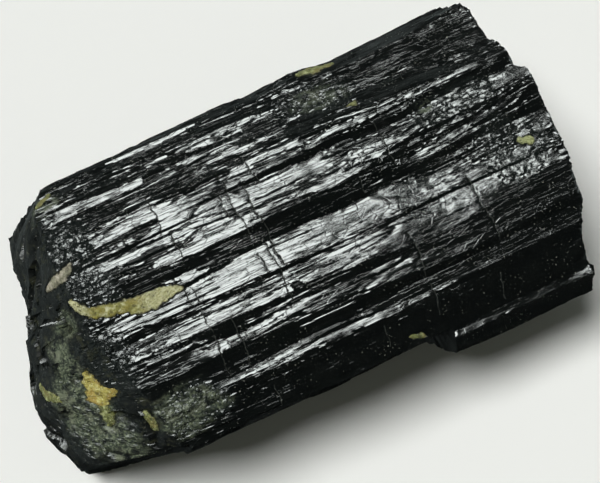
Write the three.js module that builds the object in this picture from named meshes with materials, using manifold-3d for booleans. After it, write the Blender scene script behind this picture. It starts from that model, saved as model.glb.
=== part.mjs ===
// A stub of black tourmaline (schorl): one striated prism, snapped across at both ends.
//
// Frame: millimetres, +X along the long axis of the crystal from its rough, crusted end to
// its cleaner snapped end, +Y to the far side, +Z up. The origin is the middle of the
// bounding box's underside, so the crystal lies on z = 0.
import * as THREE from 'three';
import { mergeVertices } from 'three/addons/utils/BufferGeometryUtils.js';
import Module from 'manifold-3d';

// ---------------------------------------------------------------- driving dimensions

// Cross-section. The long faces are listed from the far edge over the top to the near
// edge. A face's tilt is the lean of its normal towards +Y from straight up, in degrees,
// and its widths are measured across it at each of STATIONS, places along X. Faces that
// share a tilt are one growth direction repeated in steps, as on any tourmaline prism.
const STATIONS = [-15, -2, 4, 10, 20];
const CREST_HEIGHT = 24;
const CREST_FAR_EDGE = [4.2, 4.3, 4.2, 3.9, 4.2];
const FAR_FACES = [
  { name: 'far side', tilt: 62, widths: [4.5, 6.0, 6.6, 7.2, 7.0] },
  { name: 'far bevel', tilt: 35, widths: [3.7, 4.0, 4.2, 4.5, 4.3] },
  { name: 'far shoulder', tilt: 20, widths: [1.9, 1.8, 1.5, 1.2, 2.0] },
  { name: 'far slope', tilt: 35, widths: [2.8, 3.1, 3.3, 3.7, 3.5] },
];
const NEAR_FACES = [
  { name: 'crest', tilt: 0, widths: [2.3, 1.8, 1.3, 0.6, 0.5] },
  { name: 'crest step', tilt: -30, widths: [0.8, 1.0, 1.3, 1.2, 1.3] },
  { name: 'lens', tilt: 0, widths: [2.6, 3.0, 2.7, 2.0, 1.8] },
  { name: 'wedge', tilt: -32, widths: [3.1, 1.9, 2.1, 2.9, 2.8] },
  { name: 'broad face', tilt: -5, widths: [1.1, 2.4, 2.7, 2.9, 3.7] },
  { name: 'groove', tilt: -40, widths: [0.9, 0.7, 0.6, 0.3, 0.3] },
  { name: 'second face', tilt: -8, widths: [1.8, 1.6, 2.0, 2.8, 1.0] },
  { name: 'fine slope', tilt: -25, widths: [2.0, 2.5, 2.3, 2.3, 3.1] },
  { name: 'dark slope', tilt: -38, widths: [2.5, 2.4, 2.4, 1.9, 2.4] },
  { name: 'thin ridge', tilt: -10, widths: [0.8, 0.8, 0.6, 0.3, 0.5] },
  { name: 'near slope', tilt: -50, widths: [4.7, 4.6, 4.7, 5.0, 5.2] },
  { name: 'edge line', tilt: -10, widths: [0.5, 0.5, 0.5, 0.5, 0.5] },
  { name: 'near side', tilt: -75, widths: [2.0, 2.0, 2.0, 2.7, 2.7] },
];
// Corners of the underside, as [y, z], from the near side back to the far side.
const UNDERSIDE = [
  [-14.7, 8.8], [-11.8, 3.6], [-8.0, -0.5], [6.8, -0.5], [10.8, 2.3], [13.6, 6.6], [14.4, 11],
];

// Striations: strips along X, with alternate edges raised and sunk.
const STRIP_WIDTH = 1.15;
const RIDGE_HEIGHT = 0.04;
const WAVE_HEIGHT = 0.03;

// Rows of vertices along the crystal, and rings of them across each end.
const ROWS = 32;
const END_RINGS = 6;
const END_CENTRE = [-0.3, 12.5];
const END_ROUGHNESS = 0.3;

// The snapped end at +X: its reach at places across the crystal, as [y, x], with the
// ledges where the break jumped from one plane to the next.
const SNAPPED_END = [
  [-16, 24.0], [-12, 24.0], [-10.8, 24.4], [-10.4, 25.0], [-5, 25.6], [-2, 25.7],
  [1.9, 25.3], [2.4, 24.3], [10, 24.5], [12, 25.1], [13.5, 23.8],
];
// The crusted end at -X: its top rim as [y, x], the height of that rim as [y, z], how far
// the end swells out below the rim as [y, reach], and the fraction of the way down at
// which it swells most.
const CRUSTED_RIM = [
  [-15, -16.3], [-12, -17.0], [-9, -18.1], [-5, -19.4], [0, -20.0], [9, -19.8], [11, -18.5], [14, -16.5],
];
const RIM_HEIGHT = [[-15, 15], [-11, 19], [-5, 22], [2, 24], [8, 22.2], [13, 17.5], [15, 13]];
const CRUSTED_SWELL = [[-15, 6.6], [-10, 7.6], [-5, 7.3], [0, 5.7], [6, 3.3], [10, 3.6], [14, 5.9]];
const SWELL_DEPTH = 0.6;

// The near edge is broken away left of SLAB_START, and further in left of CORNER_START, by
// CORNER_DEPTH there and by more towards the end, at CORNER_TURN degrees to the length.
const SLAB_START = 9.6;
const BREAK_TOP = [-14.7, 15.1];
const BREAK_LEAN = 14;
const CORNER_START = -15.6;
const CORNER_DEPTH = 0.4;
const CORNER_TURN = 13;

// A blister on the far side.
const BLISTER = { x: 7.4, y: 12.6, z: 17.0, height: 0.8, radius: 2.4 };

// ---------------------------------------------------------------- small helpers

const radians = THREE.MathUtils.degToRad;
const { lerp, clamp } = THREE.MathUtils;

// Straight-line reading of a list of [place, value], held level past its two ends.
function along(table, place) {
  const last = table.length - 1;
  if (place <= table[0][0]) return table[0][1];
  if (place >= table[last][0]) return table[last][1];
  const next = table.findIndex(([at]) => at > place);
  const [at0, value0] = table[next - 1];
  const [at1, value1] = table[next];
  return lerp(value0, value1, (place - at0) / (at1 - at0));
}

const atStation = (values, x) => along(STATIONS.map((at, k) => [at, values[k]]), x);

// A smooth uneven surface between about -1 and 1.
function uneven(a, b) {
  return 0.5 * Math.sin(1.1 * a + 1.7 * Math.sin(0.8 * b)) + 0.3 * Math.sin(2.3 * b + 1.3 * a)
    + 0.2 * Math.sin(3.7 * a - 2.9 * b);
}

// ---------------------------------------------------------------- cross-section

// A step across a face of the given tilt, towards -Y, as [dy, dz].
function across(tilt, width) {
  return [-width * Math.cos(radians(tilt)), width * Math.sin(radians(tilt))];
}

// The corners of the cross-section at x, as [y, z], anticlockwise seen from +X.
function corners(x) {
  const crest = [atStation(CREST_FAR_EDGE, x), CREST_HEIGHT];
  const far = [crest];
  for (const face of [...FAR_FACES].reverse()) {
    const [dy, dz] = across(face.tilt, atStation(face.widths, x));
    far.unshift([far[0][0] - dy, far[0][1] - dz]);
  }
  const near = [];
  let [y, z] = crest;
  for (const face of NEAR_FACES) {
    const [dy, dz] = across(face.tilt, atStation(face.widths, x));
    y += dy;
    z += dz;
    near.push([y, z]);
  }
  return [...far, ...near, ...UNDERSIDE];
}

// How many strips each side of the cross-section is divided into.
const STRIPS = corners(STATIONS[1]).map(([y, z], k, all) => {
  const [nextY, nextZ] = all[(k + 1) % all.length];
  return Math.max(1, Math.round(Math.hypot(nextY - y, nextZ - z) / STRIP_WIDTH));
});

// The outline at x: every corner and every strip edge between corners.
function outline(x) {
  const points = [];
  const ring = corners(x);
  ring.forEach(([y0, z0], k) => {
    const [y1, z1] = ring[(k + 1) % ring.length];
    const span = Math.hypot(y1 - y0, z1 - z0);
    const normal = [(z1 - z0) / span, -(y1 - y0) / span];
    for (let strip = 0; strip < STRIPS[k]; strip += 1) {
      const t = strip / STRIPS[k];
      const ridge = strip === 0 ? 0 : RIDGE_HEIGHT * (strip % 2 ? -1 : 1);
      const lift = ridge + WAVE_HEIGHT * uneven(0.25 * x, points.length);
      points.push([lerp(y0, y1, t) + lift * normal[0], lerp(z0, z1, t) + lift * normal[1]]);
    }
  });
  return points;
}

// ---------------------------------------------------------------- the two ends

const snappedEnd = (y, z) => along(SNAPPED_END, y) + END_ROUGHNESS * uneven(0.5 * y, 0.5 * z);

function crustedEnd(y, z) {
  const rimHeight = along(RIM_HEIGHT, y);
  const depth = clamp((rimHeight - z) / rimHeight, 0, 1);
  const swell = Math.sin(Math.min(depth / SWELL_DEPTH, 1.3) * Math.PI / 2);
  return along(CRUSTED_RIM, y) - along(CRUSTED_SWELL, y) * swell + END_ROUGHNESS * uneven(0.6 * z, 0.6 * y);
}

// ---------------------------------------------------------------- the prism

// Rings of [x, y, z]: across the crusted end from its centre, along the sides, and across
// the snapped end to its centre.
function rings() {
  const inward = (end, [y, z], t) => {
    const place = [lerp(y, END_CENTRE[0], t), lerp(z, END_CENTRE[1], t)];
    return [end(...place), ...place];
  };
  const sides = [];
  for (let row = 0; row <= ROWS; row += 1) {
    const t = row / ROWS;
    const middle = outline(lerp(STATIONS[0], STATIONS.at(-1), t));
    sides.push(middle.map(([y, z]) => [lerp(crustedEnd(y, z), snappedEnd(y, z), t), y, z]));
  }
  const crusted = [];
  const snapped = [];
  for (let ring = 1; ring < END_RINGS; ring += 1) {
    const t = ring / END_RINGS;
    crusted.unshift(sides[0].map(([, y, z]) => inward(crustedEnd, [y, z], t)));
    snapped.push(sides[ROWS].map(([, y, z]) => inward(snappedEnd, [y, z], t)));
  }
  return [...crusted, ...sides, ...snapped];
}

// The far-side blister, as an outward push on a point.
function blister([x, y, z]) {
  const distance = Math.hypot(x - BLISTER.x, y - BLISTER.y, z - BLISTER.z);
  const push = BLISTER.height * Math.exp(-((distance / BLISTER.radius) ** 2));
  const tilt = radians(FAR_FACES[0].tilt);
  return [x, y + push * Math.sin(tilt), z + push * Math.cos(tilt)];
}

function prism() {
  const all = rings();
  const columns = all[0].length;
  const positions = all.flat().flatMap(blister);
  const firstCentre = all.length * columns;
  positions.push(crustedEnd(...END_CENTRE), ...END_CENTRE, snappedEnd(...END_CENTRE), ...END_CENTRE);
  const triangles = [];
  for (let column = 0; column < columns; column += 1) {
    const next = (column + 1) % columns;
    for (let ring = 0; ring < all.length - 1; ring += 1) {
      const [a, b] = [ring * columns + column, ring * columns + next];
      triangles.push(a, b, b + columns, a, b + columns, a + columns);
    }
    const lastRing = (all.length - 1) * columns;
    triangles.push(firstCentre, next, column, lastRing + column, lastRing + next, firstCentre + 1);
  }
  const geometry = new THREE.BufferGeometry();
  geometry.setAttribute('position', new THREE.Float32BufferAttribute(positions, 3));
  geometry.setIndex(triangles);
  return geometry;
}

// ---------------------------------------------------------------- breaks and resting face

const wasm = await Module();
wasm.setup();

function toSolid(geometry) {
  const bare = geometry.clone();
  bare.deleteAttribute('normal');
  bare.deleteAttribute('uv');
  const merged = mergeVertices(bare);
  return new wasm.Manifold(new wasm.Mesh({
    numProp: 3,
    vertProperties: new Float32Array(merged.attributes.position.array),
    triVerts: new Uint32Array(merged.index.array),
  }));
}

function toGeometry(solid) {
  const { vertProperties, triVerts } = solid.getMesh();
  const geometry = new THREE.BufferGeometry();
  geometry.setAttribute('position', new THREE.BufferAttribute(vertProperties, 3));
  geometry.setIndex(new THREE.BufferAttribute(triVerts, 1));
  return geometry;
}

// A block that reaches from far past the crusted end to endX, and whose inner face is the
// plane of the near-edge break, moved inwards by depth and turned by turn degrees.
function breakBlock(endX, depth, turn) {
  const size = 60;
  const block = new THREE.BoxGeometry(size, size, size);
  block.translate(-size / 2, -size / 2, 0);
  block.rotateZ(-radians(turn));
  block.translate(endX, depth, 0);
  block.rotateX(radians(BREAK_LEAN));
  block.translate(0, ...BREAK_TOP);
  return toSolid(block);
}

// Everything under z = 0.
function groundBlock() {
  const size = 120;
  const block = new THREE.BoxGeometry(size, size, size);
  block.translate(0, 0, -size / 2);
  return toSolid(block);
}

const stub = toSolid(prism())
  .subtract(breakBlock(SLAB_START, 0, 0))
  .subtract(breakBlock(CORNER_START, CORNER_DEPTH, CORNER_TURN))
  .subtract(groundBlock());

const crystalGeometry = toGeometry(stub);
crystalGeometry.computeBoundingBox();
const { min, max } = crystalGeometry.boundingBox;
crystalGeometry.translate(-(min.x + max.x) / 2, -(min.y + max.y) / 2, -min.z);
crystalGeometry.computeVertexNormals();

// ---------------------------------------------------------------- the model

const schorl = new THREE.MeshStandardMaterial({ color: '#0d1011', roughness: 0.3, metalness: 0 });
const crystal = new THREE.Mesh(crystalGeometry, schorl);
crystal.name = 'crystal';

const group = new THREE.Group();
group.add(crystal);
export default group;
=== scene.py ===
"""Looks of a stub of black tourmaline (schorl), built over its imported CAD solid.

Lengths are worked out in millimetres and turned into metres when a mesh is made. The frame
is the CAD's: +X along the crystal from its crusted end to its snapped end, +Y to the far
side, +Z up, z = 0 the surface it lies on.
"""

import itertools
import math

import bpy
import numpy as np
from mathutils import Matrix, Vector
from mathutils.bvhtree import BVHTree


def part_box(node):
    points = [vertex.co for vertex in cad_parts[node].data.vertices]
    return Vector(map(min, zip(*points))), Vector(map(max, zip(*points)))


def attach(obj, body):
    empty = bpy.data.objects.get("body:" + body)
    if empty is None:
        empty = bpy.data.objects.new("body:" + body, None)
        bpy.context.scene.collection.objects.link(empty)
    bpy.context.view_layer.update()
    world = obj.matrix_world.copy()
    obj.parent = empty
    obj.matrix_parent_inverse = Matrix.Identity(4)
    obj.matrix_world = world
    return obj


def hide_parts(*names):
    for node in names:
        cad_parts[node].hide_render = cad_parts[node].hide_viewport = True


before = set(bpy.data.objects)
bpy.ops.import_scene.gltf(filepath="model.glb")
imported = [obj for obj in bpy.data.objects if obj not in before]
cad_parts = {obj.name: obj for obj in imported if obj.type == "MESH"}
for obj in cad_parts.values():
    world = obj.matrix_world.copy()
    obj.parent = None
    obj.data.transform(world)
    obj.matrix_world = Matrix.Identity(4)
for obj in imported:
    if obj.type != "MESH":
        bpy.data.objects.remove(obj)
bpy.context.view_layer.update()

MM = 0.001
NODE = "crystal"

# ---------------------------------------------------------------- driving values, in mm

# The fan of meridian planes that samples the solid turns about this line, given as (y, z).
AXIS = (0.0, 12.0)
FINE_COLUMN = 0.07
COARSE_COLUMN = 0.22
# The coarse columns are those within this many degrees of straight down.
COARSE_REACH = 62
# Rays start this far from the axis or from mid length, which is outside the solid.
OUTSIDE = 60
# The long sides stop where the normal's x is above this, looked for in steps of this length.
END_FACING = 0.5
END_STEP = 0.15
# A rough radius of the section, which turns angles into lengths.
MEAN_RADIUS = 12
SIDE_ROWS = 360
ROW_LENGTH = 0.14
CRUSTED_RINGS = 64
SNAPPED_RINGS = 48
TRIANGLES = 194000
SHARP_EDGE_DEGREES = 24

# The directions that prism faces share, in degrees from straight up to the far side. The
# light flashes on every small face that has the same one, so the striations read as white
# and black.
FACES = np.array([-231, -201, -171, -141, -107, -54, -38, -3, 27, 57, 93, 117, 147, 177, 207, 237])
# The share of the surface whose steps skip the face in between, at each lean in degrees.
WIDE_SHARE = ([-34, -26, 0, 22, 34, 50], [0.03, 0.12, 0.22, 0.30, 0.42, 0.10])
# The share whose steps skip the level face instead, and the places that keep that face, each
# as the centre and the radii of an ellipsoid.
DULL_SHARE = ([-34, -20, 0, 22, 34, 50], [0.34, 0.48, 0.22, 0.45, 0.55, 0.60])
LEVEL = [
    ((0.0, -4.2, 22.0), (26.0, 2.0, 3.0)),
    ((-3.5, -12.0, 18.2), (12.0, 1.2, 2.0)),
    ((-1.0, 1.0, 23.5), (12.0, 1.6, 2.0)),
]
# Where the faces turn out of the light: centre, radii, degrees towards the far side.
TURNED = [
    ((19.0, -10.6, 17.0), (19.0, 8.0, 10.0), -32),
    ((21.0, -15.5, 13.0), (15.0, 3.4, 5.0), -30),
    ((16.0, 9.0, 20.5), (13.0, 5.0, 4.0), 20),
    ((-13.5, -9.2, 20.3), (5.0, 1.6, 2.5), -20),
    ((1.5, -8.7, 20.7), (5.0, 0.9, 2.0), -18),
    ((-5.3, -5.9, 21.8), (4.5, 0.7, 2.0), -16),
    ((-5.3, -2.1, 22.9), (4.5, 0.9, 2.0), 18),
    ((-2.5, 3.4, 23.5), (8.0, 0.8, 2.0), 18),
    ((1.5, 7.5, 22.0), (5.0, 0.9, 2.5), 16),
    ((17.0, 5.3, 22.6), (8.0, 1.0, 2.5), 16),
]
# Round the crystal, striations finer than the first window stay as they are. Relief between
# the first and the second is evened out along a ledge's length, and wider relief is left out.
STEP_WINDOW = 0.6
DRIFT_WINDOW = 2.4
LEDGE_LENGTH = 5

# Hairline grooves: cell across and along the crystal, how wide a share of it, and depth.
HAIRLINES = [(0.60, 9.0, 0.20, 0.060), (0.38, 6.0, 0.30, 0.050), (0.95, 15.0, 0.10, 0.080)]

# Where the smooth striated surface gives way to small broken facets: centre, radii, strength.
GRAINY = [
    ((-18.8, 2.0, 23.5), (4.2, 9.5, 3.6), 0.7),
    ((-19.2, -5.8, 19.0), (4.6, 5.0, 5.0), 0.8),
    ((-21.5, -8.0, 15.0), (5.0, 6.0, 6.5), 1.0),
    ((-13.6, -12.0, 18.3), (4.6, 3.0, 3.4), 1.0),
    ((14.5, -4.3, 21.2), (9.5, 3.6, 3.0), 0.10),
    ((18.0, 2.2, 23.0), (6.5, 2.0, 3.0), 0.45),
    ((8.0, 8.5, 21.5), (4.5, 2.6, 3.0), 0.5),
    ((21.5, -3.5, 21.0), (4.5, 4.0, 5.0), 0.45),
    ((-23.5, 3.0, 14.0), (4.5, 14.0, 15.0), 0.22),
]

# Where a thin grey-green crust clings to the crystal: centre, radii, strength.
CRUSTY = [
    ((-20.9, -1.4, 20.9), (1.6, 1.6, 2.2), 0.8),
    ((-22.2, -3.4, 18.6), (2.0, 2.8, 3.0), 1.0),
    ((-22.8, -5.8, 16.0), (2.8, 3.2, 3.6), 1.0),
    ((-21.8, -8.6, 15.2), (3.6, 3.6, 4.2), 1.0),
    ((-20.0, -11.6, 13.8), (3.4, 2.6, 3.4), 0.9),
    ((-14.2, -11.9, 18.2), (4.2, 2.6, 3.2), 0.75),
    ((15.7, 2.8, 23.4), (0.8, 0.9, 1.0), 1.0),
    ((-18.6, 10.0, 21.0), (2.2, 2.4, 2.0), 0.6),
    ((8.0, 8.5, 21.5), (3.4, 2.2, 2.5), 0.4),
]

# Hairline cracks across the crystal: their (x, y) at one end and at the other.
CRACKS = [
    ((-10.0, 5.6), (-10.1, 1.4)),
    ((-9.4, 1.6), (-9.5, -1.0)),
    ((-10.6, -3.1), (-10.5, -4.9)),
    ((-9.8, -3.4), (-9.8, -11.0)),
    ((-7.7, -6.9), (-7.8, -11.4)),
    ((-6.7, -12.9), (-6.6, -14.4)),
    ((-4.3, 2.7), (-4.3, 0.4)),
    ((-3.7, 5.4), (-3.4, -2.0)),
    ((-3.3, -3.0), (-3.3, -4.9)),
    ((-2.1, 3.1), (-1.7, -5.0)),
    ((-2.3, -2.4), (-2.3, -7.9)),
    ((-1.1, 5.2), (-0.5, 2.3)),
    ((4.1, -12.5), (4.3, -14.0)),
    ((7.6, -0.4), (7.6, -2.0)),
    ((10.8, 3.9), (11.1, -0.8)),
    ((9.5, -6.6), (9.4, -13.4)),
    ((16.4, -4.1), (16.9, -10.2)),
    ((15.8, -12.4), (15.8, -14.2)),
]
# A crack's zigzag as waves of (size, radians per mm of y), and the height where cracks stop.
CRACK_JAGS = ((0.10, 1.7), (0.045, 5.3), (0.02, 13.0))
CRACK_BOTTOM = 9
CRACK_HALF_WIDTH = 0.06
CRACK_DEPTH = 0.03
CRACK_STEP = 0.02

# Clay in the crystal's cracks and hollows. Each patch is a path of (x, y, z, half width) and
# the clay's thickness there.
CLAY = {
    "clay_vein": [
        ([(-19.7, -0.3, 23.2, 0.25), (-19.3, -1.3, 23.4, 0.50), (-18.6, -2.0, 23.0, 0.58),
          (-17.3, -2.4, 22.8, 0.60), (-16.1, -2.6, 22.6, 0.62), (-15.1, -2.8, 22.5, 0.72),
          (-14.0, -2.9, 22.3, 0.88), (-12.6, -2.9, 22.3, 0.78), (-11.4, -2.9, 22.3, 0.50),
          (-10.6, -3.1, 22.3, 0.22)], 0.30),
    ],
    "clay_ochre": [
        ([(-21.0, -5.5, 19.0, 0.45), (-20.9, -6.3, 18.5, 1.05), (-20.7, -7.1, 18.1, 1.35),
          (-20.6, -7.7, 17.7, 0.95)], 0.36),
        ([(-20.5, -7.3, 18.2, 0.90), (-19.6, -7.8, 18.7, 0.60)], 0.28),
    ],
    "clay_green": [
        ([(-20.7, -8.1, 17.4, 0.70), (-20.8, -8.6, 16.8, 0.80), (-20.9, -9.3, 16.1, 0.50)], 0.30),
        ([(-24.9, -2.8, 13.3, 0.40), (-24.8, -3.6, 13.7, 0.62), (-24.4, -4.6, 14.5, 0.55),
          (-23.8, -5.3, 15.2, 0.40)], 0.16),
        ([(-17.7, -10.5, 18.3, 0.28), (-17.6, -11.2, 17.9, 0.60), (-17.6, -11.9, 17.1, 0.42)], 0.24),
        ([(6.2, -13.8, 16.4, 0.25), (7.2, -14.0, 16.0, 0.42), (8.0, -14.2, 15.5, 0.25)], 0.12),
        ([(-17.4, 11.0, 20.1, 0.30), (-18.1, 10.4, 20.5, 0.42), (-18.7, 9.9, 20.8, 0.30)], 0.14),
        ([(8.2, 12.5, 19.0, 0.50), (9.7, 12.7, 18.6, 1.25), (11.0, 12.5, 18.5, 0.80)], 0.28),
        ([(9.0, 6.6, 23.0, 0.35), (10.4, 6.3, 23.0, 0.55), (11.2, 6.6, 22.9, 0.30)], 0.12),
        ([(22.3, -3.2, 21.5, 0.45), (23.2, -3.6, 21.5, 0.50)], 0.20),
    ],
    "clay_pale": [
        ([(-21.0, 2.2, 21.1, 0.30), (-20.6, 2.2, 21.8, 0.45), (-20.1, 2.0, 23.0, 0.55),
          (-19.4, 1.8, 23.7, 0.55), (-18.8, 2.0, 23.9, 0.45), (-18.4, 2.4, 24.0, 0.25)], 0.30),
    ],
}

# How far clay reaches below the surface that it lies on.
CLAY_ROOT = 0.45

# Each clay's three shades from dark to light, the colour of its stains, and the stretches of
# x, as (from, to), over which it turns palest.
CLAY_COLOURS = {
    "clay_vein": {
        "shades": ((0.12, 0.11, 0.025), (0.32, 0.31, 0.080), (0.62, 0.62, 0.38)),
        "stain": (0.28, 0.24, 0.045),
        "paler": ((-18.2, -19.2), (-15.2, -13.4)),
    },
    "clay_ochre": {
        "shades": ((0.18, 0.15, 0.030), (0.46, 0.40, 0.095), (0.62, 0.60, 0.25)),
        "stain": (0.43, 0.31, 0.07),
    },
    "clay_green": {
        "shades": ((0.06, 0.07, 0.020), (0.20, 0.22, 0.070), (0.42, 0.46, 0.21)),
        "stain": (0.22, 0.20, 0.06),
        "paler": ((20.0, 21.0),),
    },
    "clay_pale": {
        "shades": ((0.16, 0.15, 0.10), (0.36, 0.34, 0.25), (0.58, 0.54, 0.44)),
        "stain": (0.24, 0.24, 0.16),
    },
}

# The photo's point of view: degrees round from -Y towards +X, degrees up from level, what it
# looks at and from how far.
CAMERA_AZIMUTH = -26
CAMERA_ELEVATION = 68
CAMERA_TARGET = (2.2, 0.1, 12)
CAMERA_DISTANCE = 155
LIGHT_TARGET = (0, 0, 12)
FLOOR_HALF = 3000
PAPER = (0.83, 0.84, 0.81, 1)
# The strength of the darkest part of the room that the glossy faces mirror.
DIMMEST = 0.021


# ---------------------------------------------------------------- noise

HASH_FACTORS = (np.uint32(374761393), np.uint32(668265263), np.uint32(2246822519))


def hash01(cells, seed):
    """A number from 0 to 1 for each whole-number cell, given as one array per axis."""
    with np.errstate(over="ignore"):
        n = np.full(cells[0].shape, seed * 3266489917 % 2**32, np.uint32)
        for cell, factor in zip(cells, HASH_FACTORS):
            n += cell.astype(np.int64).astype(np.uint32) * factor
        n = (n ^ (n >> np.uint32(13))) * np.uint32(1274126177)
        n = (n ^ (n >> np.uint32(15))) * np.uint32(2654435761)
        n ^= n >> np.uint32(16)
    return (n & np.uint32(0xFFFFFF)).astype(float) / 0xFFFFFF


def noise(points, cell, seed):
    """Smooth noise from -1 to 1 at points in two or three dimensions; cell is its grain size."""
    q = points / np.asarray(cell, float)
    low = np.floor(q)
    f = q - low
    f = f * f * f * (f * (f * 6 - 15) + 10)
    total = 0
    for bits in itertools.product((0, 1), repeat=points.shape[-1]):
        weight = 1
        for axis, bit in enumerate(bits):
            weight = weight * (f[..., axis] if bit else 1 - f[..., axis])
        total = total + weight * hash01([low[..., a] + bit for a, bit in enumerate(bits)], seed)
    return 2 * total - 1


def fractal(points, cell, seed, octaves=3):
    """Noise with finer and finer layers, each half the size and strength of the last."""
    cell = np.asarray(cell, float)
    layers = [noise(points, cell / 2**o, seed + o) / 2**o for o in range(octaves)]
    return sum(layers) / (2 - 2.0**(1 - octaves))


def shards(points, cell, seed):
    """Height of small flat facets that lean every way, for a mean lean of about 45 degrees."""
    q = points / cell
    low = np.floor(q)
    nearest = np.full(q.shape[:-1], np.inf)
    away = np.zeros_like(q)
    home = np.zeros_like(q)
    for offset in itertools.product((-1, 0, 1), repeat=3):
        corner = low + offset
        ids = np.moveaxis(corner, -1, 0)
        centre = corner + np.stack([hash01(ids, seed + a) for a in range(3)], -1)
        distance = ((q - centre)**2).sum(-1)
        closer = distance < nearest
        nearest = np.where(closer, distance, nearest)
        away[closer] = (q - centre)[closer]
        home[closer] = corner[closer]
    ids = np.moveaxis(home, -1, 0)
    lean = np.stack([hash01(ids, seed + 3 + a) for a in range(3)], -1) * 2 - 1
    step = hash01(ids, seed + 6) - 0.5
    return cell * (1.5 * (lean * away).sum(-1) + 0.35 * step)


def ranked(values):
    """The same field with its values spread evenly from 0 to 1."""
    order = np.argsort(values, axis=None)
    spread = np.empty(values.size)
    spread[order] = np.linspace(0, 1, values.size)
    return spread.reshape(values.shape)


def smoothstep(low, high, value):
    """0 below low and 1 above high, with a smooth rise between."""
    t = np.clip((value - low) / (high - low), 0, 1)
    return t * t * (3 - 2 * t)


# ---------------------------------------------------------------- zones

def near(points, centre, radii):
    """1 at the centre of an ellipsoid, 0 at its surface and outside."""
    distance = np.linalg.norm((points - np.array(centre)) / np.array(radii), axis=-1)
    return 1 - smoothstep(0.45, 1, distance)


def zone(points, blobs, seed):
    """How far each point is inside a list of ellipsoids, with a ragged edge."""
    ragged = 0.9 * fractal(points, (2.6, 0.8, 0.8), seed, 4)
    share = np.zeros(points.shape[:-1])
    for centre, radii, strength in blobs:
        inside = near(points, centre, radii)
        share = np.maximum(share, strength * smoothstep(0.1, 0.8, inside + ragged * (inside > 0)))
    return share


def clay_cover(points, name):
    """Above 0 where a clay piece lies, rising to 1 at its middle, and its thickness there."""
    cover = np.full(points.shape[:-1], -1.0)
    thickness = np.zeros(points.shape[:-1])
    ragged = 0.34 * fractal(points, 0.7, 131) + 0.2 * noise(points, 0.22, 137)
    for path, depth in CLAY[name]:
        for start, finish in itertools.pairwise(np.array(path)):
            step = finish[:3] - start[:3]
            t = np.clip(((points - start[:3]) @ step) / (step @ step), 0, 1)
            away = np.linalg.norm(points - start[:3] - t[..., None] * step, axis=-1)
            width = start[3] + (finish[3] - start[3]) * t
            share = 1 - away / width + ragged
            thickness = np.where(share > cover, depth, thickness)
            cover = np.maximum(cover, share)
    return cover, thickness


def crack_lines(points):
    """Distance in x past each crack, and how much of the crack is there, crack by crack."""
    x, y = points[..., 0], points[..., 1]
    for (x0, y0), (x1, y1) in CRACKS:
        t = (y - y0) / (y1 - y0)
        line = x0 + (x1 - x0) * t
        for size, turns in CRACK_JAGS:
            line = line + size * np.sin(turns * y + x0)
        present = smoothstep(-0.1, 0.05, t) * (1 - smoothstep(0.95, 1.1, t))
        yield x - line, present * (points[..., 2] > CRACK_BOTTOM)


# ---------------------------------------------------------------- sampling the solid

def solid_tree(node):
    """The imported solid, ready for rays in millimetres."""
    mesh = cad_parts[node].data
    corners = [v.co / MM for v in mesh.vertices]
    return BVHTree.FromPolygons(corners, [p.vertices[:] for p in mesh.polygons])


def cast(tree, origin, direction):
    hit, normal, _, _ = tree.ray_cast(Vector(origin), Vector(direction))
    return hit, normal


def radial(tree, angle, x):
    """Where the ray square to the axis meets the solid from outside."""
    c, s = math.cos(angle), math.sin(angle)
    return cast(tree, (x, AXIS[0] + OUTSIDE * c, AXIS[1] + OUTSIDE * s), (0, -c, -s))


def column_angles(tree):
    """Angles of the meridian planes, spaced by arc length on the section at mid length."""
    probe = np.radians(np.linspace(-90, 270, 2881))
    hits = np.array([radial(tree, a, 0.3)[0] for a in probe])
    steps = np.linalg.norm(np.diff(hits, axis=0), axis=1)
    middle = (probe[1:] + probe[:-1]) / 2
    below = np.degrees(np.abs((middle + math.pi / 2 + math.pi) % (2 * math.pi) - math.pi))
    fine = smoothstep(COARSE_REACH - 12, COARSE_REACH + 12, below)
    spacing = COARSE_COLUMN + (FINE_COLUMN - COARSE_COLUMN) * fine
    count = np.concatenate([[0], np.cumsum(steps / spacing)])
    return np.interp(np.linspace(0, count[-1], int(count[-1]), endpoint=False), count, probe)


def side_ends(tree, angle, low, high):
    """The x at which the long sides give way to each end, on one meridian plane."""
    ends = []
    for x_end in (low, high):
        facing = math.copysign(1, x_end)
        x = 0.45 * x_end
        while abs(x) < abs(x_end):
            hit, normal = radial(tree, angle, x)
            if hit is None or normal[0] * facing > END_FACING:
                break
            x += END_STEP * facing
        ends.append(x - 0.1 * facing)
    return ends


def side_rows(tree, angles, low, high):
    """The long sides, as a grid of (row, column, xyz)."""
    ends = np.array([side_ends(tree, a, low, high) for a in angles])
    girth = np.stack([angles * MEAN_RADIUS, np.zeros_like(angles)], -1)
    ends[:, 0] += 0.35 * np.abs(fractal(girth, 0.8, 41))
    ends[:, 1] -= 0.35 * np.abs(fractal(girth, 0.7, 42))
    rows = np.zeros((SIDE_ROWS, len(angles), 3))
    for column, angle in enumerate(angles):
        reach = AXIS[1]
        for row, x in enumerate(np.linspace(*ends[column], SIDE_ROWS)):
            hit = radial(tree, angle, x)[0]
            if hit is not None:
                reach = math.hypot(hit[1] - AXIS[0], hit[2] - AXIS[1])
            rows[row, column] = (x, AXIS[0] + reach * math.cos(angle),
                                 AXIS[1] + reach * math.sin(angle))
    return rows


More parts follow.
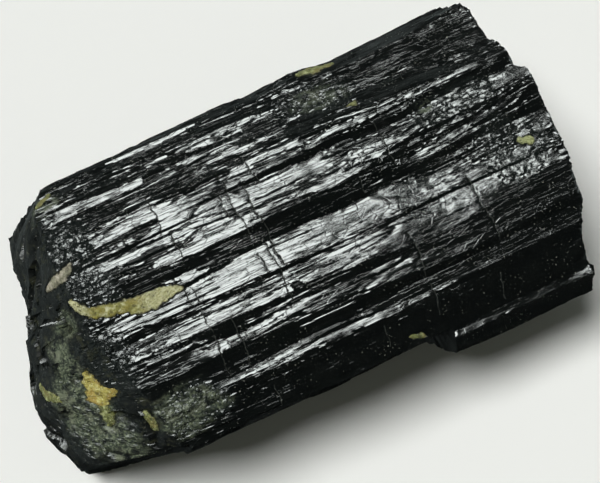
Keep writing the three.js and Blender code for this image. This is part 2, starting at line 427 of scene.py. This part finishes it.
def end_rows(tree, rim, facing, count):
    """Rings from the rim of an end towards its middle, and the middle itself."""
    middle = np.array(AXIS)
    rings = []
    for share in 1 - (np.arange(1, count + 1) / (count + 0.6)) ** 0.9:
        inner = middle + share * (rim[:, 1:] - middle)
        probe = middle + min(share, 0.985) * (rim[:, 1:] - middle)
        hits = [cast(tree, (OUTSIDE * facing, y, z), (-facing, 0, 0))[0] for y, z in probe]
        xs = np.array([edge if hit is None else hit[0] for hit, edge in zip(hits, rim[:, 0])])
        xs = rim[:, 0] + (xs - rim[:, 0]) * smoothstep(0, 0.035, 1 - share)
        rings.append(np.column_stack([xs, inner]))
    tip = cast(tree, (OUTSIDE * facing, *middle), (-facing, 0, 0))[0]
    return np.array(rings), np.array(tip)


# ---------------------------------------------------------------- the crystal's surface

def blurred(grid, reach, axis):
    """A running mean over 2 * reach + 1 neighbours, wrapping round."""
    total = sum(np.roll(grid, k, axis=axis) for k in range(-reach, reach + 1))
    return total / (2 * reach + 1)


def drift(height, girth, window):
    """The slow part of a height round the crystal, by two passes of a moving average."""
    mean_girth = girth.mean(0)
    left = np.searchsorted(mean_girth, mean_girth - window / 2)
    right = np.searchsorted(mean_girth, mean_girth + window / 2)
    for _ in range(2):
        total = np.concatenate([np.zeros((len(height), 1)), np.cumsum(height, axis=1)], axis=1)
        height = (total[:, right] - total[:, left]) / (right - left)
    return height


def along_mean(height, length):
    """A moving average of a height along the crystal, over a length in mm."""
    reach = int(length / ROW_LENGTH / 2)
    padded = np.pad(height, ((reach + 1, reach), (0, 0)), mode="edge")
    total = np.cumsum(padded, axis=0)
    return (total[2 * reach + 1:] - total[:-2 * reach - 1]) / (2 * reach + 1)


def face_steps(place, tilt, sway, plain, across, girth):
    """Height of the striations: the mean surface broken into faces of the shared directions.

    place is (distance round, distance along), tilt the surface's mean lean in degrees, sway
    how far the faces turn from the shared directions, plain 1 where no step skips the level
    face, and across the distance between neighbouring columns.
    """
    pattern = ranked(0.8 * noise(place, (0.9, 18.0), 11) + 0.9 * noise(place, (0.40, 11.0), 12)
                     + 0.8 * noise(place, (0.21, 6.0), 13) + 0.3 * noise(place, (0.15, 1.6), 14))
    fray = 0.3 * noise(place, (0.25, 1.5), 23)
    wide = ranked(noise(place, (1.6, 12.0), 16) + fray) < np.interp(tilt, *WIDE_SHARE)
    dull = ranked(noise(place, (0.7, 7.0), 15) + fray) < np.interp(tilt, *DULL_SHARE) * (1 - plain)
    turn = np.searchsorted(FACES, tilt)
    odd = turn % 2 == 1
    low = FACES[turn - 1 - np.where(dull, ~odd, wide & odd)]
    high = FACES[turn + np.where(dull, odd, wide & ~odd)]
    rise_high = np.tan(np.radians(high + sway - tilt))
    rise_low = np.tan(np.radians(low + sway - tilt))
    share = np.clip(-rise_low / (rise_high - rise_low), 0, 1)
    height = np.cumsum(np.where(pattern < share, rise_high, rise_low) * across, axis=1)
    local = drift(height, girth, STEP_WINDOW)
    slow = drift(local, girth, DRIFT_WINDOW)
    return height - local + along_mean(local - slow, LEDGE_LENGTH)


def hairlines(place):
    """Thin wavy grooves that run with the striations, fade out and start again."""
    height = 0
    for number, (across, along, width, depth) in enumerate(HAIRLINES):
        line = 1 - smoothstep(0, width, np.abs(noise(place, (across, along), 21 + number)))
        there = smoothstep(-0.35, 0.25, noise(place, (1.3, 5.0), 26 + number))
        height = height - depth * line * there
    return height


def crack_relief(points):
    """A narrow groove along each crack, and a slight step down past it."""
    height = np.zeros(points.shape[:-1])
    for away, present in crack_lines(points):
        groove = CRACK_DEPTH * np.exp(-(away / 0.07)**2)
        step = CRACK_STEP * (away > 0) * np.exp(-away / 1.5)
        height -= present * (groove + step)
    return height


def side_relief(rows, normals):
    """The striations, hairlines, cracks and slow waves of the long sides."""
    tilt = np.degrees(np.arctan2(normals[..., 1], normals[..., 2]))
    steps = np.linalg.norm(np.diff(rows[..., 1:], axis=1, append=rows[:, :1, 1:]), axis=-1)
    across = np.minimum(steps, 3 * np.median(steps))
    girth = np.cumsum(across, axis=1)
    place = np.stack([girth, rows[..., 0]], -1)
    place[..., 0] += 0.32 * noise(place, (2.0, 9.0), 3) + 0.06 * noise(place, (0.7, 2.0), 4)
    waves = 0.09 * noise(place, (2.5, 7.0), 18) + 0.02 * noise(place, (0.5, 1.5), 19)
    texture = 0.012 * noise(place, (0.15, 0.8), 61)
    turned = [near(rows, centre, radii) for centre, radii, _ in TURNED]
    sway = 2.5 * noise(place, (0.6, 12.0), 17)
    sway += sum(share * degrees for share, (_, _, degrees) in zip(turned, TURNED))
    level = np.max([smoothstep(0, 0.4, near(rows, *blob)) for blob in LEVEL], axis=0)
    calm = smoothstep(0, 0.3, np.max(turned, axis=0))
    steps = face_steps(place, tilt, sway, np.maximum(level, calm), across, girth)
    return steps + hairlines(place) * (1 - 0.7 * calm) + waves + texture


def end_relief(points, seed):
    """Broken facets a few millimetres wide, with finer breaks on them."""
    return (0.22 * shards(points, 3.6, seed) + 0.08 * shards(points, 1.2, seed + 10)
            + 0.05 * fractal(points, 0.8, seed + 20))


def relief(rows, normals, rims):
    """Height of the whole surface over the CAD solid, and how grainy each place is."""
    first, last = rims
    grainy = zone(rows, GRAINY, 31)
    height = np.zeros(rows.shape[:-1])
    sides = slice(first, last + 1)
    height[sides] = side_relief(rows[sides], normals[sides]) * (1 - 0.6 * grainy[sides])
    height[sides] += crack_relief(rows[sides])
    for rings, rim, seed in ((slice(0, first), first, 71), (slice(last + 1, None), last, 171)):
        depth = np.linalg.norm(rows[rings] - rows[rim], axis=-1)
        height[rings] = np.minimum(end_relief(rows[rings], seed), 0.1) * smoothstep(0, 2.0, depth)
    broken = grainy > 0.02
    places = rows[broken]
    calm = 0.65 + 0.35 * noise(places, 1.6, 84)
    grains = (0.32 * shards(places, 0.62, 51) + 0.36 * shards(places, 0.30, 61)) * calm
    grains += 0.14 * fractal(places, 1.2, 81)
    height[broken] += grainy[broken] * grains
    return height, grainy


def surface_normals(rows):
    """Outward directions of a smoothed copy of the surface."""
    soft = blurred(blurred(rows, 3, 1), 3, 1)
    around = np.roll(soft, -3, axis=1) - np.roll(soft, 3, axis=1)
    normals = np.cross(around, np.gradient(soft, axis=0))
    return normals / (np.linalg.norm(normals, axis=-1, keepdims=True) + 1e-9)


def side_normals(normals):
    """The same directions on the long sides, square to the crystal's axis."""
    flat = normals.copy()
    flat[..., 0] = 0
    return flat / (np.linalg.norm(flat, axis=-1, keepdims=True) + 1e-9)


def relief_directions(rows, rims):
    """Which way the relief rises: outwards, and nearly along +X inside the snapped end's rim."""
    normals = surface_normals(rows)
    sides = slice(rims[0], rims[1] + 1)
    normals[sides] = side_normals(normals[sides])
    snapped = slice(rims[1] + 1, None)
    depth = np.linalg.norm(rows[snapped] - rows[rims[1]], axis=-1)
    normals[snapped] += smoothstep(0.5, 3, depth)[..., None] * (4, 0, 0)
    normals[snapped] /= np.linalg.norm(normals[snapped], axis=-1, keepdims=True)
    return normals


def make_clay_beds(rows, height):
    """Lower the height in place under every clay, so that the clay fills a hollow."""
    for name in CLAY:
        cover, thickness = clay_cover(rows, name)
        sunk = np.minimum(height, -0.5 * thickness)
        height += (sunk - height) * smoothstep(-0.2, 0.3, cover)


def crystal_rows(tree):
    """The sampled solid as rows from the crusted end's middle to the snapped end's."""
    low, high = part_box(NODE)
    sides = side_rows(tree, column_angles(tree), low[0] / MM, high[0] / MM)
    crusted, start = end_rows(tree, sides[0], -1, CRUSTED_RINGS)
    snapped, finish = end_rows(tree, sides[-1], 1, SNAPPED_RINGS)
    rims = (CRUSTED_RINGS, CRUSTED_RINGS + SIDE_ROWS - 1)
    return np.concatenate([crusted[::-1], sides, snapped]), start, finish, rims


# ---------------------------------------------------------------- meshes

def grid_quads(rows, columns):
    """The corners of each quad of a grid, as (row, column, corner), closed round its columns."""
    index = np.arange(rows * columns).reshape(rows, columns)
    after = np.roll(index, -1, axis=1)
    return np.stack([index[:-1], after[:-1], after[1:], index[1:]], -1)


def tube_faces(rows, columns):
    """Faces of a tube of rows, closed at each end by a fan to one of the two points after it."""
    tip = rows * columns
    index = np.arange(columns)
    after = np.roll(index, -1)
    last_row = tip - columns
    first = np.stack([np.full(columns, tip), after, index], -1)
    last = np.stack([last_row + index, last_row + after, np.full(columns, tip + 1)], -1)
    return grid_quads(rows, columns).reshape(-1, 4).tolist() + first.tolist() + last.tolist()


def mesh_object(name, vertices, faces, **attributes):
    """A new object from corners in millimetres, with a number at each corner per attribute."""
    mesh = bpy.data.meshes.new(name)
    mesh.from_pydata((np.asarray(vertices) * MM).tolist(), [], faces)
    for key, values in attributes.items():
        layer = mesh.attributes.new(key, "FLOAT", "POINT")
        layer.data.foreach_set("value", values.astype(np.float32))
    mesh.update()
    made = bpy.data.objects.new(name, mesh)
    bpy.context.scene.collection.objects.link(made)
    return made


def thinned(piece, triangles):
    """The piece with its flat places simplified, down to a number of triangles."""
    full = sum(len(p.vertices) - 2 for p in piece.data.polygons)
    thin = piece.modifiers.new("thin", "DECIMATE")
    thin.ratio = min(1, triangles / full)
    depsgraph = bpy.context.evaluated_depsgraph_get()
    mesh = bpy.data.meshes.new_from_object(piece.evaluated_get(depsgraph))
    piece.modifiers.clear()
    old = piece.data
    piece.data = mesh
    bpy.data.meshes.remove(old)
    mesh.name = piece.name
    mesh.shade_smooth()
    mesh.set_sharp_from_angle(angle=math.radians(SHARP_EDGE_DEGREES))
    return piece


def make_crystal(surface, start, finish, grainy, crusty, ends):
    """The crystal's mesh. Its two tips, start and finish, are grainy and have no crust."""
    vertices = np.concatenate([surface.reshape(-1, 3), [start, finish]])
    piece = mesh_object("tourmaline", vertices, tube_faces(*surface.shape[:2]),
                        grainy=np.append(grainy, [1, 1]), crusty=np.append(crusty, [0, 0]),
                        ends=np.append(ends, [1, 1]))
    return thinned(piece, TRIANGLES)


def make_clay(name, surface, smooth, normals):
    """A lumpy closed mesh that fills the crystal's hollows where this clay lies."""
    cover, thickness = clay_cover(smooth, name)
    lumps = (0.55 + 0.45 * fractal(smooth, 0.8, 141) + 0.22 * noise(smooth, 0.3, 144)
             + 0.12 * noise(smooth, 0.16, 145))
    rise = smoothstep(0, 0.45, cover) * thickness * lumps
    sunk = np.minimum(((surface - smooth) * normals).sum(-1), 0)
    lift = np.where(cover > 0, 0.5 * sunk + rise, sunk) - 0.05 * (cover < 0.05)
    top = smooth + normals * lift[..., None]
    bottom = smooth + normals * (sunk - CLAY_ROOT)[..., None]
    kept = (cover[:-1] > 0) & (cover[1:] > 0)
    kept &= np.roll(kept, -1, axis=1)
    quads = grid_quads(*cover.shape)[kept]
    faces = quads.tolist() + (quads[:, ::-1] + cover.size).tolist() + walls(quads, cover.size)
    used, compact = np.unique(np.array(faces), return_inverse=True)
    vertices = np.concatenate([top.reshape(-1, 3), bottom.reshape(-1, 3)])[used]
    middle = np.tile(smoothstep(0, 0.6, cover).ravel(), 2)[used]
    return mesh_object(name, vertices, compact.reshape(-1, 4).tolist(), middle=middle)


def walls(quads, offset):
    """Faces that join the open border of a sheet to its copy, offset further on in the list."""
    edges = {(int(a), int(b)) for quad in quads for a, b in zip(quad, np.roll(quad, -1))}
    return [[b, a, a + offset, b + offset] for a, b in sorted(edges) if (b, a) not in edges]


# ---------------------------------------------------------------- materials

class Tree:
    """A node tree, with short ways to add plain nodes to it."""

    def __init__(self, tree):
        self.nodes = tree.nodes
        self.links = tree.links

    def wire(self, value, socket):
        """Join an output to a socket, or set the socket to a plain value."""
        if isinstance(value, bpy.types.NodeSocket):
            self.links.new(value, socket)
        else:
            socket.default_value = value

    def math(self, operation, *values):
        node = self.nodes.new("ShaderNodeMath")
        node.operation = operation
        for value, socket in zip(values, node.inputs):
            self.wire(value, socket)
        return node.outputs["Value"]

    def ramp(self, value, low, high, start=0.0, finish=1.0):
        """A number that goes smoothly from start to finish as the value passes low to high."""
        node = self.nodes.new("ShaderNodeMapRange")
        node.interpolation_type = "SMOOTHSTEP"
        self.wire(value, node.inputs["Value"])
        given = {"From Min": low, "From Max": high, "To Min": start, "To Max": finish}
        for name, number in given.items():
            node.inputs[name].default_value = number
        return node.outputs["Result"]

    def split(self, place):
        """The x, y and z of a place or a direction."""
        node = self.nodes.new("ShaderNodeSeparateXYZ")
        self.wire(place, node.inputs[0])
        return node.outputs


class Graph(Tree):
    """The nodes of one material; places in it are in millimetres."""

    def __init__(self, name):
        self.material = bpy.data.materials.new(name)
        self.material.use_nodes = True
        super().__init__(self.material.node_tree)
        self.shader = self.nodes["Principled BSDF"]
        self.here = self.nodes.new("ShaderNodeTexCoord").outputs["Object"]
        self.place = self.stretched(1, 1, 1)

    def stretched(self, *scale):
        """The place in millimetres, with each axis scaled."""
        node = self.nodes.new("ShaderNodeVectorMath")
        node.operation = "MULTIPLY"
        self.wire(self.here, node.inputs[0])
        self.wire([factor / MM for factor in scale], node.inputs[1])
        return node.outputs["Vector"]

    def noise(self, size, place=None, detail=2.0, rough=0.55):
        node = self.nodes.new("ShaderNodeTexNoise")
        self.wire(place or self.place, node.inputs["Vector"])
        node.inputs["Scale"].default_value = 1 / size
        node.inputs["Detail"].default_value = detail
        node.inputs["Roughness"].default_value = rough
        return node.outputs["Fac"]

    def cells(self, size, output, place=None, feature="F1"):
        node = self.nodes.new("ShaderNodeTexVoronoi")
        node.feature = feature
        self.wire(place or self.place, node.inputs["Vector"])
        node.inputs["Scale"].default_value = 1 / size
        return node.outputs[output]

    def mix(self, share, a, b):
        """A colour between two others."""
        node = self.nodes.new("ShaderNodeMix")
        node.data_type = "RGBA"
        self.wire(share, node.inputs[0])
        for colour, socket in ((a, node.inputs[6]), (b, node.inputs[7])):
            self.wire(colour if isinstance(colour, bpy.types.NodeSocket) else (*colour, 1), socket)
        return node.outputs[2]

    def between(self, share, a, b):
        """A number between two others."""
        node = self.nodes.new("ShaderNodeMix")
        self.wire(share, node.inputs[0])
        self.wire(a, node.inputs[2])
        self.wire(b, node.inputs[3])
        return node.outputs[0]

    def attribute(self, name):
        node = self.nodes.new("ShaderNodeAttribute")
        node.attribute_name = name
        return node.outputs["Fac"]

    def bump(self, height, depth, normal=None):
        """Relief whose height runs from 0 to 1 over a depth in millimetres."""
        node = self.nodes.new("ShaderNodeBump")
        node.inputs["Distance"].default_value = depth * MM
        self.wire(height, node.inputs["Height"])
        if normal:
            self.wire(normal, node.inputs["Normal"])
        return node.outputs["Normal"]

    def finished(self, colour, roughness, normal):
        """The material, with its shader wired to these."""
        self.wire(colour, self.shader.inputs["Base Color"])
        self.wire(roughness, self.shader.inputs["Roughness"])
        self.wire(normal, self.shader.inputs["Normal"])
        return self.material


def crack_group():
    """A node group: how near a place is to one crack, whose middle is at x = Start + Lean * y
    with the zigzag added. The crack runs from Low to High in y, and Turn shifts its waves."""
    group = bpy.data.node_groups.new("crack", "ShaderNodeTree")
    for name in ("X", "Y", "Start", "Lean", "Low", "High", "Turn"):
        group.interface.new_socket(name, in_out="INPUT", socket_type="NodeSocketFloat")
    group.interface.new_socket("Near", in_out="OUTPUT", socket_type="NodeSocketFloat")
    tree = Tree(group)
    given = tree.nodes.new("NodeGroupInput").outputs
    line = tree.math("MULTIPLY_ADD", given["Y"], given["Lean"], given["Start"])
    for size, turns in CRACK_JAGS:
        wave = tree.math("SINE", tree.math("MULTIPLY_ADD", given["Y"], turns, given["Turn"]))
        line = tree.math("MULTIPLY_ADD", wave, size, line)
    away = tree.math("ABSOLUTE", tree.math("SUBTRACT", given["X"], line))
    here = tree.math("SUBTRACT", 1.0, tree.math("DIVIDE", away, CRACK_HALF_WIDTH))
    above = tree.math("GREATER_THAN", given["Y"], given["Low"])
    below = tree.math("LESS_THAN", given["Y"], given["High"])
    inside = tree.math("MULTIPLY", above, below)
    close = tree.math("MULTIPLY", tree.math("MAXIMUM", here, 0.0), inside)
    tree.wire(close, tree.nodes.new("NodeGroupOutput").inputs["Near"])
    return group


def crack_mask(graph):
    """1 along the middle of every crack, fading to 0 on both sides of it."""
    x, y, z = graph.split(graph.place)
    group = crack_group()
    mask = 0.0
    for (x0, y0), (x1, y1) in CRACKS:
        lean = (x1 - x0) / (y1 - y0)
        node = graph.nodes.new("ShaderNodeGroup")
        node.node_tree = group
        given = {"X": x, "Y": y, "Start": x0 - lean * y0, "Lean": lean,
                 "Low": min(y0, y1), "High": max(y0, y1), "Turn": x0}
        for name, value in given.items():
            graph.wire(value, node.inputs[name])
        mask = graph.math("MAXIMUM", mask, node.outputs["Near"])
    return graph.math("MULTIPLY", mask, graph.ramp(z, CRACK_BOTTOM - 1, CRACK_BOTTOM + 1))


def schorl_colour(graph, grainy, ends, grains, blotches):
    """Black, greyer where it is grainy, with a thin brown film on the broken ends."""
    black = graph.mix(graph.ramp(blotches, 0.35, 0.7),
                      (0.0028, 0.0036, 0.0034), (0.0042, 0.0052, 0.0046))
    broken = graph.mix(graph.ramp(grains, 0.4, 0.7), (0.004, 0.006, 0.006), (0.024, 0.030, 0.026))
    smears = graph.ramp(graph.noise(0.9, detail=4.0, rough=0.7), 0.52, 0.68)
    film = graph.math("MULTIPLY", ends, smears)
    return graph.mix(film, graph.mix(grainy, black, broken), (0.030, 0.032, 0.018))


def crust_colour(graph, grains):
    """Grey-green grains, and patches where they all are pale."""
    speckled = graph.mix(graph.ramp(grains, 0.38, 0.66), (0.024, 0.036, 0.022), (0.18, 0.21, 0.13))
    patches = graph.ramp(graph.noise(1.7, detail=2.0), 0.52, 0.64, 0.0, 0.85)
    return graph.mix(patches, speckled, (0.17, 0.19, 0.125))


def schorl_normal(graph, grainy, ends, grains, streaks, cracks):
    """Streaks and hairs along the crystal, crackle on its sides, its cracks, and its grains."""
    hairs = graph.noise(0.34, graph.stretched(0.05, 1, 1), 3.0)
    hair = graph.ramp(graph.math("ABSOLUTE", graph.math("SUBTRACT", hairs, 0.5)), 0.0, 0.045)
    edges = graph.cells(0.9, "Distance", graph.stretched(0.6, 1, 1), "DISTANCE_TO_EDGE")
    gaps = graph.ramp(graph.noise(2.6), 0.56, 0.44)
    crackle = graph.math("MAXIMUM", graph.ramp(edges, 0.0, 0.045), gaps)
    graininess = graph.between(grainy, graph.between(ends, 0.05, 0.45), 1.0)
    layers = (
        (graph.math("MULTIPLY", streaks, graph.between(grainy, 1.0, 0.2)), 0.007),
        (graph.math("MULTIPLY", hair, graph.between(grainy, 1.0, 0.0)), 0.008),
        (graph.math("MULTIPLY", crackle, graph.between(ends, 1.0, 0.0)), 0.010),
        (graph.math("SUBTRACT", 1.0, cracks), 0.025),
        (graph.math("MULTIPLY", grains, graininess), 0.060),
    )
    normal = None
    for height, depth in layers:
        normal = graph.bump(height, depth, normal)
    return normal


def schorl_material():
    """Glossy black crystal, duller and greyer where it is broken, with dust in its cracks."""
    graph = Graph("schorl")
    grainy = graph.attribute("grainy")
    ends = graph.attribute("ends")
    streaks = graph.noise(0.10, graph.stretched(0.07, 1, 1), 3.0)
    grains = graph.noise(0.22, detail=3.0, rough=0.65)
    blotches = graph.noise(1.3, detail=3.0)
    cracks = graph.math("MULTIPLY", crack_mask(graph), graph.ramp(graph.noise(0.5), 0.30, 0.5))
    specks = graph.math("MULTIPLY", graph.ramp(graph.noise(0.17, detail=1.0), 0.70, 0.76),
                        graph.ramp(graph.noise(1.9, detail=1.0), 0.46, 0.56))
    dust = graph.math("MAXIMUM", graph.math("MULTIPLY", specks, 0.8),
                      graph.math("MULTIPLY", cracks, 0.13))
    clots = graph.ramp(graph.noise(0.8, detail=5.0, rough=0.68), 0.38, 0.58)
    crust = graph.math("MULTIPLY", graph.attribute("crusty"), clots)

    colour = schorl_colour(graph, grainy, ends, grains, blotches)
    colour = graph.mix(crust, colour, crust_colour(graph, grains))
    colour = graph.mix(dust, colour, (0.26, 0.27, 0.22))
    rough = graph.between(grainy, graph.ramp(streaks, 0.3, 0.8, 0.12, 0.22), 0.26)
    rough = graph.between(ends, rough, graph.ramp(blotches, 0.35, 0.65, 0.20, 0.40))
    rough = graph.between(crust, rough, graph.ramp(grains, 0.4, 0.6, 0.70, 0.30))
    rough = graph.between(dust, rough, 0.75)
    graph.shader.inputs["IOR"].default_value = 1.64
    return graph.finished(colour, rough, schorl_normal(graph, grainy, ends, grains, streaks, cracks))


def clay_material(name, shades, stain, paler=()):
    """Dry clay full of fine mica, darker towards its border."""
    graph = Graph(name)
    clots = graph.noise(0.5, detail=4.0, rough=0.62)
    grit = graph.noise(0.11, detail=2.0, rough=0.7)
    flakes = graph.cells(0.16, "Color")
    colour = graph.mix(graph.ramp(clots, 0.34, 0.52), shades[0], shades[1])
    colour = graph.mix(graph.ramp(clots, 0.50, 0.66), colour, shades[2])
    colour = graph.mix(graph.ramp(graph.noise(1.1), 0.50, 0.62, 0.0, 0.85), colour, stain)
    x, _, _ = graph.split(graph.place)
    for low, high in paler:
        share = graph.math("MULTIPLY", graph.ramp(x, low, high), graph.ramp(grit, 0.35, 0.6))
        colour = graph.mix(graph.math("MULTIPLY", share, 0.8), colour, shades[2])
    colour = graph.mix(graph.ramp(grit, 0.58, 0.74, 0.0, 0.75), colour, (0.72, 0.72, 0.52))
    colour = graph.mix(graph.ramp(grit, 0.44, 0.30, 0.0, 0.85), colour, (0.03, 0.03, 0.012))
    # Darker towards the clay's border, where its middle attribute falls off.
    border = graph.ramp(graph.math("ADD", graph.attribute("middle"), grit), 0.9, 0.5, 0.0, 0.85)
    colour = graph.mix(border, colour, (0.05, 0.045, 0.020))
    rough = graph.ramp(flakes, 0.6, 0.75, 0.85, 0.35)
    return graph.finished(colour, rough, graph.bump(flakes, 0.04, graph.bump(grit, 0.11)))


def floor_material():
    graph = Graph("paper")
    graph.shader.inputs["Base Color"].default_value = PAPER
    graph.shader.inputs["Roughness"].default_value = 0.9
    graph.shader.inputs["Specular IOR Level"].default_value = 0.2
    return graph.material


# ---------------------------------------------------------------- stage

def make_camera():
    data = bpy.data.cameras.new("camera")
    data.lens = 100
    data.sensor_width = 36
    data.clip_start = 0.01
    camera = bpy.data.objects.new("camera", data)
    bpy.context.scene.collection.objects.link(camera)
    azimuth, elevation = math.radians(CAMERA_AZIMUTH), math.radians(CAMERA_ELEVATION)
    back = Vector((math.sin(azimuth) * math.cos(elevation),
                   -math.cos(azimuth) * math.cos(elevation), math.sin(elevation)))
    camera.location = Vector(CAMERA_TARGET) * MM + back * CAMERA_DISTANCE * MM
    camera.rotation_mode = "QUATERNION"
    camera.rotation_quaternion = (-back).to_track_quat("-Z", "Y")
    bpy.context.scene.camera = camera


def make_light(name, kind, place, energy):
    """A light at a place, turned to the object."""
    light = bpy.data.objects.new(name, bpy.data.lights.new(name, kind))
    light.data.energy = energy
    bpy.context.scene.collection.objects.link(light)
    light.location = Vector(place) * MM
    light.rotation_mode = "QUATERNION"
    light.rotation_quaternion = (Vector(LIGHT_TARGET) - Vector(place)).to_track_quat("-Z", "Y")
    return light


def make_lights():
    """A softbox that the glossy faces mirror, and two broad lights for everything matt."""
    softbox = make_light("softbox", "AREA", (30, 140, 600), energy=5.2)
    softbox.data.color = (0.94, 1.0, 0.97)
    softbox.data.shape = "RECTANGLE"
    softbox.data.size = 300 * MM
    softbox.data.size_y = 380 * MM
    softbox.visible_diffuse = False
    overhead = make_light("overhead", "SUN", (-200, 50, 620), energy=3.15)
    overhead.data.angle = math.radians(24)
    overhead.visible_glossy = False
    fill = make_light("fill", "SUN", (100, -500, 450), energy=0.16)
    fill.data.color = (1.0, 1.0, 0.80)
    fill.data.angle = math.radians(90)
    fill.visible_glossy = False


def make_world():
    """A dim room for reflections, paler low down at its far, left and right sides, and a pale
    backdrop for the camera."""
    world = bpy.data.worlds.new("studio")
    bpy.context.scene.world = world
    world.use_nodes = True
    tree = Tree(world.node_tree)
    x, y, z = tree.split(tree.nodes.new("ShaderNodeTexCoord").outputs["Generated"])
    sides = tree.math("ADD", tree.ramp(x, -0.85, -0.5, 0.20, 0), tree.ramp(x, 0.5, 0.85, 0, 0.4))
    low = tree.math("MULTIPLY", sides, tree.ramp(z, -0.1, 0.4, 1, 0))
    far = tree.math("MULTIPLY", tree.ramp(y, 0.0, 0.6, 0, 0.15), tree.ramp(z, -0.2, 0.0, 1, 0))
    room = tree.nodes["Background"]
    room.inputs["Color"].default_value = (0.85, 1.0, 0.97, 1)
    strength = tree.math("MAXIMUM", tree.math("MAXIMUM", low, far), DIMMEST)
    tree.wire(strength, room.inputs["Strength"])
    backdrop = tree.nodes.new("ShaderNodeBackground")
    backdrop.inputs["Color"].default_value = PAPER
    mix = tree.nodes.new("ShaderNodeMixShader")
    tree.wire(tree.nodes.new("ShaderNodeLightPath").outputs["Is Camera Ray"], mix.inputs["Fac"])
    tree.wire(room.outputs["Background"], mix.inputs[1])
    tree.wire(backdrop.outputs["Background"], mix.inputs[2])
    tree.wire(mix.outputs["Shader"], tree.nodes["World Output"].inputs["Surface"])


def make_floor():
    """A wide sheet of pale paper that the glossy faces don't mirror."""
    half = FLOOR_HALF
    corners = [(-half, -half, 0), (half, -half, 0), (half, half, 0), (-half, half, 0)]
    floor = mesh_object("floor", corners, [(0, 1, 2, 3)])
    floor.data.materials.append(floor_material())
    floor.visible_glossy = False


# ---------------------------------------------------------------- assembly

def place_piece(piece, material):
    piece.data.materials.append(material)
    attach(piece, "root")


def end_share(rows, rims):
    """1 on the two broken ends and 0 on the long sides."""
    share = np.zeros(rows.shape[:-1])
    share[:rims[0]] = 1
    share[rims[1] + 1:] = 1
    return share


def make_object():
    """The crystal in place of its CAD solid, and the clay pieces on it."""
    rows, start, finish, rims = crystal_rows(solid_tree(NODE))
    normals = relief_directions(rows, rims)
    height, grainy = relief(rows, normals, rims)
    make_clay_beds(rows, height)
    surface = rows + normals * height[..., None]
    surface[..., 2] = np.maximum(surface[..., 2], 0)
    crusty = zone(rows, CRUSTY, 33)
    crystal = make_crystal(surface, start, finish, grainy, crusty, end_share(rows, rims))
    place_piece(crystal, schorl_material())
    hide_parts(NODE)
    for name, colours in CLAY_COLOURS.items():
        piece = make_clay(name, surface, rows, normals)
        piece.data.shade_smooth()
        place_piece(piece, clay_material(name, **colours))


make_object()
make_floor()
make_world()
make_lights()
make_camera()
bpy.context.scene.view_settings.view_transform = "Standard"
